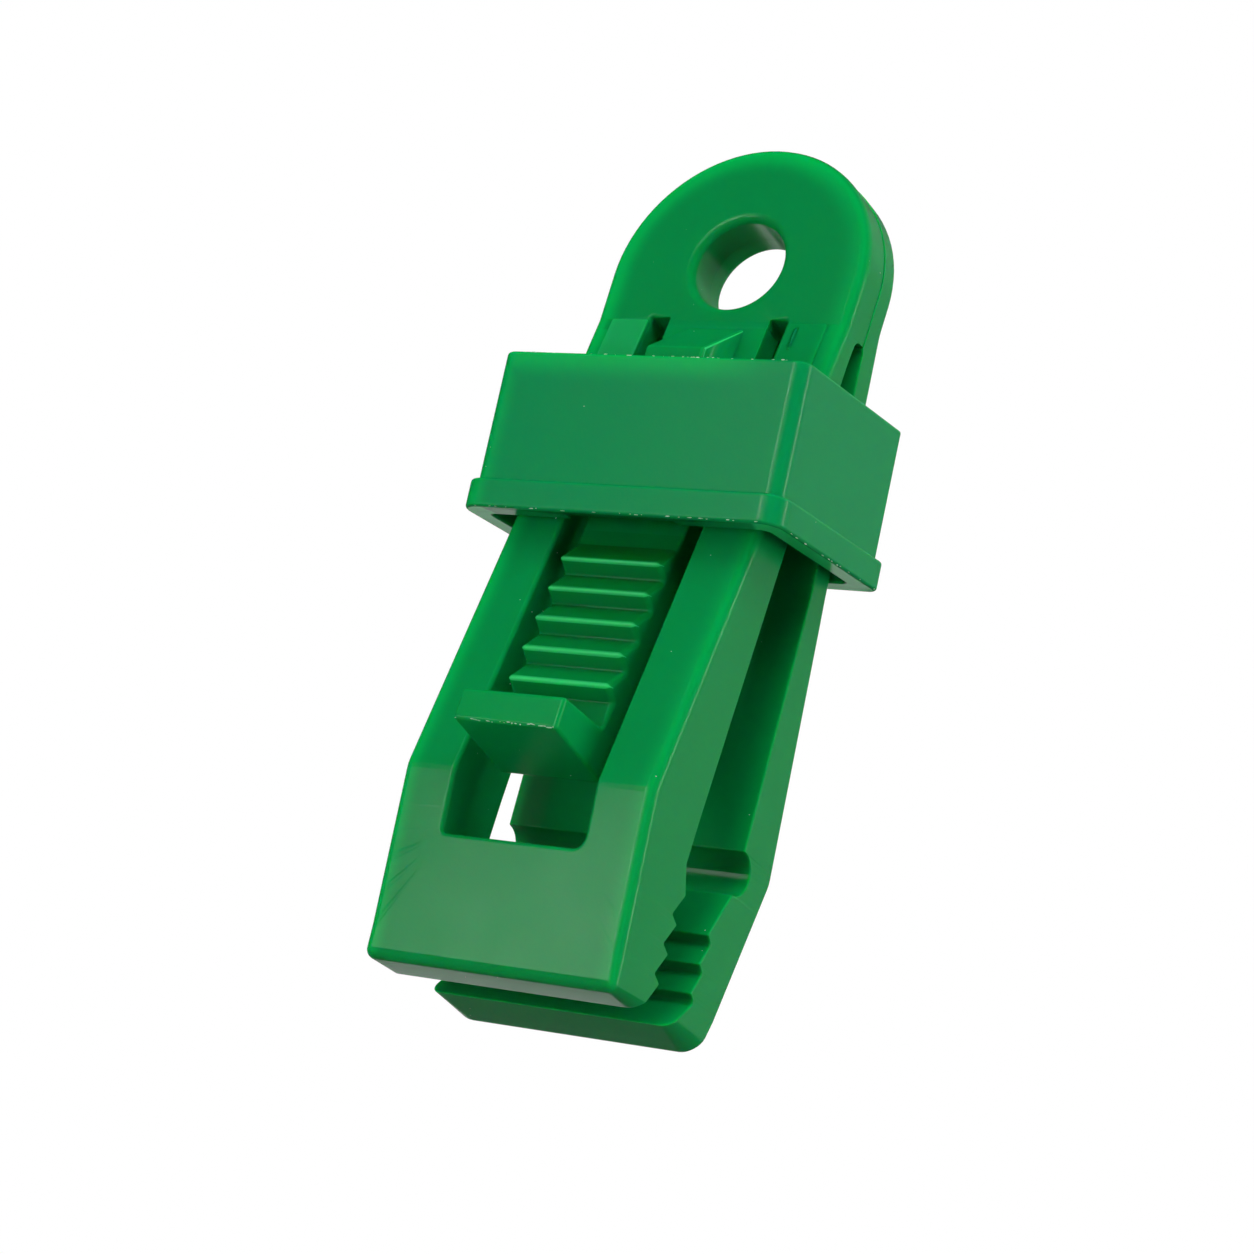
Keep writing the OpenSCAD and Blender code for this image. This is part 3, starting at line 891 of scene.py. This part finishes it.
tongue = {
    "half": 5.8, "root": (-3.72, -7.45, 0), "waist": (-6.83, -32.0, 1), "rampRound": 0.5,
    "firstCrest": (-9.5, -36.25), "pitch": 3.42, "lean": 0.1512, "teeth": 5,
    "ramp": (2.2, 2.5), "valleyIn": 1.75, "valleyDrop": 1.02, "crestRound": 0.32,
    "valleyRound": 0.2, "toothEdge": 0.6, "strapEdge": 0.35, "tabEdge": 0.4, "rootEdge": 0.03,
    "rootDrop": 0.1, "teethIn": (-6.9, 1), "tabIn": (-11.7, 1.5), "tabFront": -12.5,
    "tabRoot": (-10.11, 0.5), "tabTop": -53.75, "tabOut": -17.5, "tabFoot": -56.95,
    "tabRound": 0.4, "heel": (-7.45, -58.3, 0.5), "backBend": (-6.13, -49.85, 4),
    "backRoot": (-1.0, -7.45, 0),
    "wedgeHalf": 3.3, "wedgeEdge": 0.3,
    "wedge": [(-2.6, -7.4, 0), (-3.72, -7.6, 1), (-9.6, -12.9, 0.5), (-9.6, -14.35, 0.4),
              (-3.4, -14.35, 0)],
    "burrs": {"from": -5.5, "to": 5.4, "in": 0.1, "up": 0.12},
    "flash": {"Spacing": 0.45 * mm, "Share": 0.75, "Thickness": 0.07 * mm, "Length": 6.0,
              "Wander": 0.06 * mm, "Seed": 7},
}


def tongueOutline():
    # anticlockwise seen from +x, where +y is to the right and +z is up
    s = tongue
    (y, z), (rampIn, rampUp) = s["firstCrest"], s["ramp"]
    corners = [s["root"], s["waist"], (y + rampIn, z + rampUp, s["rampRound"])]
    for i in range(s["teeth"]):
        corners.append((y, z, s["crestRound"]))
        corners.append((y + s["valleyIn"], z - s["valleyDrop"], s["valleyRound"]))
        y, z = y - s["lean"] * s["pitch"], z - s["pitch"]
    (rootY, rootRound), top, tabRound = s["tabRoot"], s["tabTop"], s["tabRound"]
    corners += [(rootY, top, rootRound), (s["tabOut"], top, tabRound),
                (s["tabOut"], s["tabFoot"], tabRound), s["heel"], s["backBend"], s["backRoot"]]
    return outline(corners)


def sidePlate(points, half, rounding, crestRadius=-1.0):
    return plateMesh([Loop(points, rounding, rounding)], lambda v: -half, lambda v: half,
                     place=fromSide, crestRadius=crestRadius)


def tongueEdge(u, v):
    # how far the tongue's sides are rounded at its root, tab, teeth and strap
    s = tongue
    (tabIn, below), (teethIn, above) = s["tabIn"], s["teethIn"]
    if v > s["root"][1] - s["rootDrop"]:
        return s["rootEdge"]
    if u < tabIn and v > s["tabTop"] - below or u < s["tabFront"]:
        return s["tabEdge"]
    return s["toothEdge"] if v > s["tabTop"] + above and u < teethIn else s["strapEdge"]


wedge = looseSolid("wedge", sidePlate(outline(tongue["wedge"]), tongue["wedgeHalf"],
                                      tongue["wedgeEdge"]))
tonguePiece = looseSolid("releaseTongue", sidePlate(
    tongueOutline(), tongue["half"], tongueEdge, tongue["crestRound"]))
join(tonguePiece, wedge, "UNION")
# marks every vertex of the tongue for the ratchet's painted shade
shade = tonguePiece.data.attributes.new("shade", "FLOAT", "POINT")
shade.data.foreach_set("value", [1.0] * len(tonguePiece.data.vertices))
finishSolid(tonguePiece, bodyPlastic)
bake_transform(tonguePiece)
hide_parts("release_tongue")
burrs = tongue["burrs"]
burrY, burrZ = tongue["tabOut"] + burrs["in"], tongue["tabFoot"] + burrs["up"]
tabFlash = addFlash("tabFlash", [[(burrs["from"], burrY, burrZ), (burrs["to"], burrY, burrZ)]],
                    "body_plastic", **tongue["flash"])
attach(tabFlash, "tongue")


# The sliding collar, drawn upright and then leaned with the back face
collar = {
    "lean": 8.6, "hinge": (0, 3.6, -2.5), "top": -10.6, "height": 16.5,
    "halfWidth": 17.5, "depth": 20.6, "back": 2.2, "frontRound": 1.6, "backRound": 0.45,
    "innerHalfWidth": 15.9, "innerDepth": 16.78, "innerRound": 0.8, "leastRound": 0.05,
    "flangeHeight": 3.0, "flangeOut": 0.75, "ledge": 0.2,
    "topEdge": 0.3, "flangeEdge": 0.3, "footEdge": 0.35, "innerEdge": 0.25,
    # the last is the level of painted highlight on the face under the flange
    "cornerSteps": 10, "edgeSteps": 4, "edgeRim": 0.6, "cornerRim": 0.8, "underside": 1.0,
    "leadIn": {"half": 6.3, "depth": 1.4, "height": 6.5, "footGap": 0.2, "past": 1},
    "stopRib": {"half": 4.5, "out": 0.95, "height": 1.2, "edge": 0.15, "into": 0.7,
                "down": 0.1, "rounds": (0.1, 0.15)},
    "topBurrs": {"down": 0.08, "in": 0.12, "inset": 2.0},
    "topFlash": {"Spacing": 0.55 * mm, "Share": 0.42, "Thickness": 0.055 * mm, "Length": 7.0,
                 "Wander": 0.04 * mm, "Seed": 4},
    "footBurrs": {"up": 0.1, "in": 0.1, "inset": 1.5, "sideIn": 0.12, "sideFrom": 2,
                  "sideTo": 0.5},
    "footFlash": {"Spacing": 0.6 * mm, "Share": 0.32, "Thickness": 0.055 * mm, "Length": 6.0,
                  "Wander": 0.05 * mm, "Seed": 11},
}


def collarRing(grow, z, inner=False):
    # one level of the sleeve, its outline grown outwards by grow
    s = collar
    half, depth = s["halfWidth"], s["depth"]
    if inner:
        half, depth = s["innerHalfWidth"], s["innerDepth"]
    middle = s["back"] - s["depth"] / 2
    halfW, halfD = half + grow, depth / 2 + grow
    points = []
    for cx, cy, start in ((1, 1, 0), (-1, 1, 90), (-1, -1, 180), (1, -1, 270)):
        r = s["innerRound"] if inner else s["backRound"] if cy > 0 else s["frontRound"]
        r = max(s["leastRound"], r + grow)
        for k in range(s["cornerSteps"] + 1):
            x, y = onCircle(r, start + 90 * k / s["cornerSteps"])
            points.append((cx * (halfW - r) + x, middle + cy * (halfD - r) + y, z))
    return points


def collarRings():
    # up the inner wall, over the top, down the outside and round the rim
    s = collar
    top, foot = s["top"], s["top"] - s["height"]
    ledge = foot + s["flangeHeight"]
    out, fine = s["flangeOut"], s["innerEdge"]
    edges = [
        ((0, top - fine), (fine, top), True, "rise"),
        ((-s["topEdge"], top), (0, top - s["topEdge"]), False, "fall"),
        ((0, ledge + s["ledge"]), (s["ledge"], ledge), False, "rise"),
        ((out - s["flangeEdge"], ledge), (out, ledge - s["flangeEdge"]), False, "fall"),
        ((out, foot + s["footEdge"]), (out - s["footEdge"], foot), False, "rise"),
        ((fine, foot), (0, foot + fine), True, "fall"),
    ]
    rings = []
    for (g0, z0), (g1, z1), inner, kind in edges:
        for k in range(s["edgeSteps"] + 1):
            a = math.radians(90 * k / s["edgeSteps"])
            early, late = math.sin(a), 1 - math.cos(a)
            g, z = (late, early) if kind == "rise" else (early, late)
            rings.append(collarRing(g0 + (g1 - g0) * g, z0 + (z1 - z0) * z, inner))
    return rings


def makeCollar():
    # "rim" is strongest in the middle of each rounded edge and corner; the painted-highlight
    # attribute is set on the face under the flange, which is painted lighter as painted light
    s, bm = collar, bmesh.new()
    rimLayer = bm.verts.layers.float.new("rim")
    crestLayer = bm.verts.layers.float.new("crest")
    edgeSteps, cornerSteps, foot = s["edgeSteps"], s["cornerSteps"], s["top"] - s["height"]
    rings = []
    for k, ring in enumerate(collarRings()):
        edge = s["edgeRim"] * math.sin(math.pi * (k % (edgeSteps + 1)) / edgeSteps)
        made = []
        for i, p in enumerate(ring):
            corner = math.sin(math.pi * (i % (cornerSteps + 1)) / cornerSteps)
            vert = bm.verts.new([c * mm for c in p])
            vert[rimLayer] = max(edge, s["cornerRim"] * corner)
            vert[crestLayer] = s["underside"] if math.isclose(p[2], foot) else 0.0
            made.append(vert)
        rings.append(made)
    count = len(rings[0])
    for a, b in zip(rings, rings[1:] + rings[:1]):
        for i in range(count):
            j = (i + 1) % count
            bm.faces.new((a[i], a[j], b[j], b[i]))
    bmesh.ops.recalc_face_normals(bm, faces=bm.faces)
    return bm


leaned = Matrix.Translation(Vector(collar["hinge"]) * mm) @ Matrix.Rotation(
    math.radians(collar["lean"]), 4, "X")
collarPiece = looseSolid("slidingCollar", makeCollar())
front = collar["back"] - collar["depth"] / 2 - collar["innerDepth"] / 2
foot, lead, rib = collar["top"] - collar["height"], collar["leadIn"], collar["stopRib"]
leadEnd, leadDepth = foot + lead["height"], front - lead["depth"]
leadIn = sidePlate(outline([
    (front + lead["past"], foot - lead["past"], 0), (front + lead["past"], leadEnd, 0),
    (front, leadEnd, 0), (leadDepth, foot - lead["footGap"], 0),
    (leadDepth, foot - lead["past"], 0)]), lead["half"], sharpEdge)
join(collarPiece, looseSolid("leadIn", leadIn), "DIFFERENCE")
top, ribRoot, ribOut = collar["top"] - rib["down"], front - rib["into"], front + rib["out"]
ribEnd = top - rib["height"]
stopRib = sidePlate(outline([
    (ribRoot, ribEnd - rib["out"], 0), (front, ribEnd - rib["out"], 0),
    (ribOut, ribEnd, rib["rounds"][0]), (ribOut, top, rib["rounds"][1]), (ribRoot, top, 0)]),
    rib["half"], rib["edge"])
join(collarPiece, looseSolid("stopRib", stopRib), "UNION")
finishSolid(collarPiece, collarPlastic)
collarPiece.data.transform(leaned)
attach(collarPiece, "collar")
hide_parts("slide_collar")


def collarEdge(z, grow, inset):
    # the front edge of the sleeve at one height, from corner to corner
    half, y = collar["halfWidth"] + grow, collar["back"] - collar["depth"] - grow
    return [(-half + inset, y, z), (half - inset, y, z)]


burrs = collar["topBurrs"]
topFlash = addFlash("collarTopFlash", [
    collarEdge(collar["top"] - burrs["down"], -burrs["in"], burrs["inset"])],
    "collar_plastic", leaned, **collar["topFlash"])
burrs = collar["footBurrs"]
flangeHalf = collar["halfWidth"] + collar["flangeOut"] - burrs["sideIn"]
footFlash = addFlash("collarFootFlash", [
    collarEdge(foot + burrs["up"], collar["flangeOut"] - burrs["in"], burrs["inset"]),
    [(flangeHalf, collar["back"] - collar["depth"] + burrs["sideFrom"], foot + burrs["up"]),
     (flangeHalf, collar["back"] - burrs["sideTo"], foot + burrs["up"])]],
    "collar_plastic", leaned, **collar["footFlash"])
for piece in (topFlash, footFlash):
    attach(piece, "collar")


# Floor, world and lights. Each direction points from the clip.
studio = {
    "middle": (0, 0, -0.035), "floorZ": -0.2, "floorSize": 3.0,
    "paper": (0.8, 0.8, 0.8, 1), "paperBounce": (0.2, 0.2, 0.2, 1),
    "paperMirror": (0.06, 0.06, 0.06, 1), "paperGlow": 0.92, "paperGloss": 0.7,
    "dim": 0.01, "table": 0.08, "tableTop": 0.25, "tableFoot": -0.10,
    "paperWay": (-0.54, 0.78, 0.33), "paperFrom": 0.955, "paperTo": 1.0,
    "wallWay": (0.54, 0.78, 0.33), "wallFrom": 0.4, "wallTo": 0.95, "wall": 0.3,
}
lamps = {
    "keyLamp": {"way": (0.36, -0.6, 0.714), "watts": 3.8, "mirrored": False},
    "sideLamp": {"way": (1.0, 0.0, 0.0), "watts": 2.95, "mirrored": False},
    "frontLamp": {"way": (-0.2, -0.98, 0.0), "watts": 0.5},
    "leftLamp": {"way": (-0.87, -0.48, 0.1), "watts": 0.55, "mirrored": False},
    "lowLamp": {"way": (-0.18, -0.68, -0.707), "watts": 2.0},
    "leftLowLamp": {"way": (-0.68, -0.18, -0.707), "watts": 0.4},
    "backLowLamp": {"way": (0.18, 0.68, -0.707), "watts": 0.85},
    "backLamp": {"way": (0.2, 0.8, 0.56), "watts": 2.6, "mirrored": False},
    "backLeftLamp": {"way": (-0.8, 0.55, 0.1), "watts": 1.5, "mirrored": False},
    "jawFill": {"way": (-0.1, -0.9, -0.45), "far": 0.3, "wide": 0.15, "tall": 0.15,
                "watts": 0.38, "mirrored": False},
    "jawLamp": {"way": (-0.5, -0.85, -0.2), "far": 0.26, "wide": 0.07, "tall": 0.05,
                "watts": 0.024},
    "underLamp": {"way": (-0.54, 0.8, -0.22), "far": 0.3, "wide": 0.12, "tall": 0.1,
                  "watts": 0.028},
    "leftStrip": {"way": (-0.25, -0.97, 0.0), "wide": 0.03, "tall": 0.6, "watts": 0.5},
    "rightStrip": {"way": (0.96, 0.26, 0.1), "wide": 0.03, "tall": 0.6, "watts": 0.6},
}


def addFloor():
    size, z = studio["floorSize"], studio["floorZ"]
    mesh = bpy.data.meshes.new("floor")
    mesh.from_pydata([(-size, -size, z), (size, -size, z), (size, size, z), (-size, size, z)],
                     [], [(0, 1, 2, 3)])
    floor = bpy.data.objects.new("floor", mesh)
    bpy.context.scene.collection.objects.link(floor)
    material, tree, shader = newMaterial("floorPaper")
    path = addNode(tree, "ShaderNodeLightPath").outputs
    seen = path["Is Camera Ray"]
    bounced = mixColour(tree, path["Is Glossy Ray"], studio["paperBounce"],
                        studio["paperMirror"])
    fillSockets(tree, shader, {
        "Base Color": mixColour(tree, seen, bounced, studio["paper"]),
        "Roughness": studio["paperGloss"], "Emission Color": (1, 1, 1, 1),
        "Emission Strength": product(tree, seen, studio["paperGlow"])})
    mesh.materials.append(material)


def addWorld():
    # white to the camera; to the clip, a pale table in front and a pale wall behind
    world = bpy.data.worlds.new("studio")
    bpy.context.scene.world = world
    world.use_nodes = True
    tree = world.node_tree
    way = coordinates(tree, "Generated")
    table = mapRange(tree, axes(tree, way)[2], studio["tableFoot"], studio["tableTop"],
                     studio["table"], 0.0, "SMOOTHSTEP")
    light = maths(tree, "ADD", table, studio["dim"])

    def spot(name):
        # rises to 1 towards one direction
        near = addNode(tree, "ShaderNodeVectorMath", {"operation": "DOT_PRODUCT"}, _0=way,
                       _1=studio[name + "Way"]).outputs["Value"]
        return between01(tree, near, studio[name + "From"], studio[name + "To"])

    bright = maths(tree, "MAXIMUM", spot("paper"), product(tree, spot("wall"), studio["wall"]))
    path = addNode(tree, "ShaderNodeLightPath").outputs
    seen = maths(tree, "MAXIMUM", maths(tree, "MAXIMUM", path["Is Camera Ray"],
                                        path["Is Transmission Ray"]),
                 product(tree, path["Is Glossy Ray"], bright))
    strength = addNode(tree, "ShaderNodeMix", {"data_type": "FLOAT"}, _0=seen, _2=light, _3=1.0)
    fillSockets(tree, tree.nodes["Background"], {"Color": (1, 1, 1, 1),
                                                 "Strength": strength.outputs[0]})


def addLamp(name, way, watts, far=0.7, wide=0.5, tall=0.5, mirrored=True):
    data = bpy.data.lights.new(name, "AREA")
    data.shape, data.size, data.size_y, data.energy = "RECTANGLE", wide, tall, watts
    lamp = bpy.data.objects.new(name, data)
    bpy.context.scene.collection.objects.link(lamp)
    ahead = -Vector(way).normalized()
    lamp.location = Vector(studio["middle"]) - ahead * far
    lamp.visible_camera, lamp.visible_glossy = False, mirrored
    lamp.rotation_euler = ahead.to_track_quat("-Z", "Y").to_euler()


addFloor()
addWorld()
for name, lamp in lamps.items():
    addLamp(name, **lamp)
print("floor, world and lights ready")

bpy.context.scene.view_settings.view_transform = "Standard"
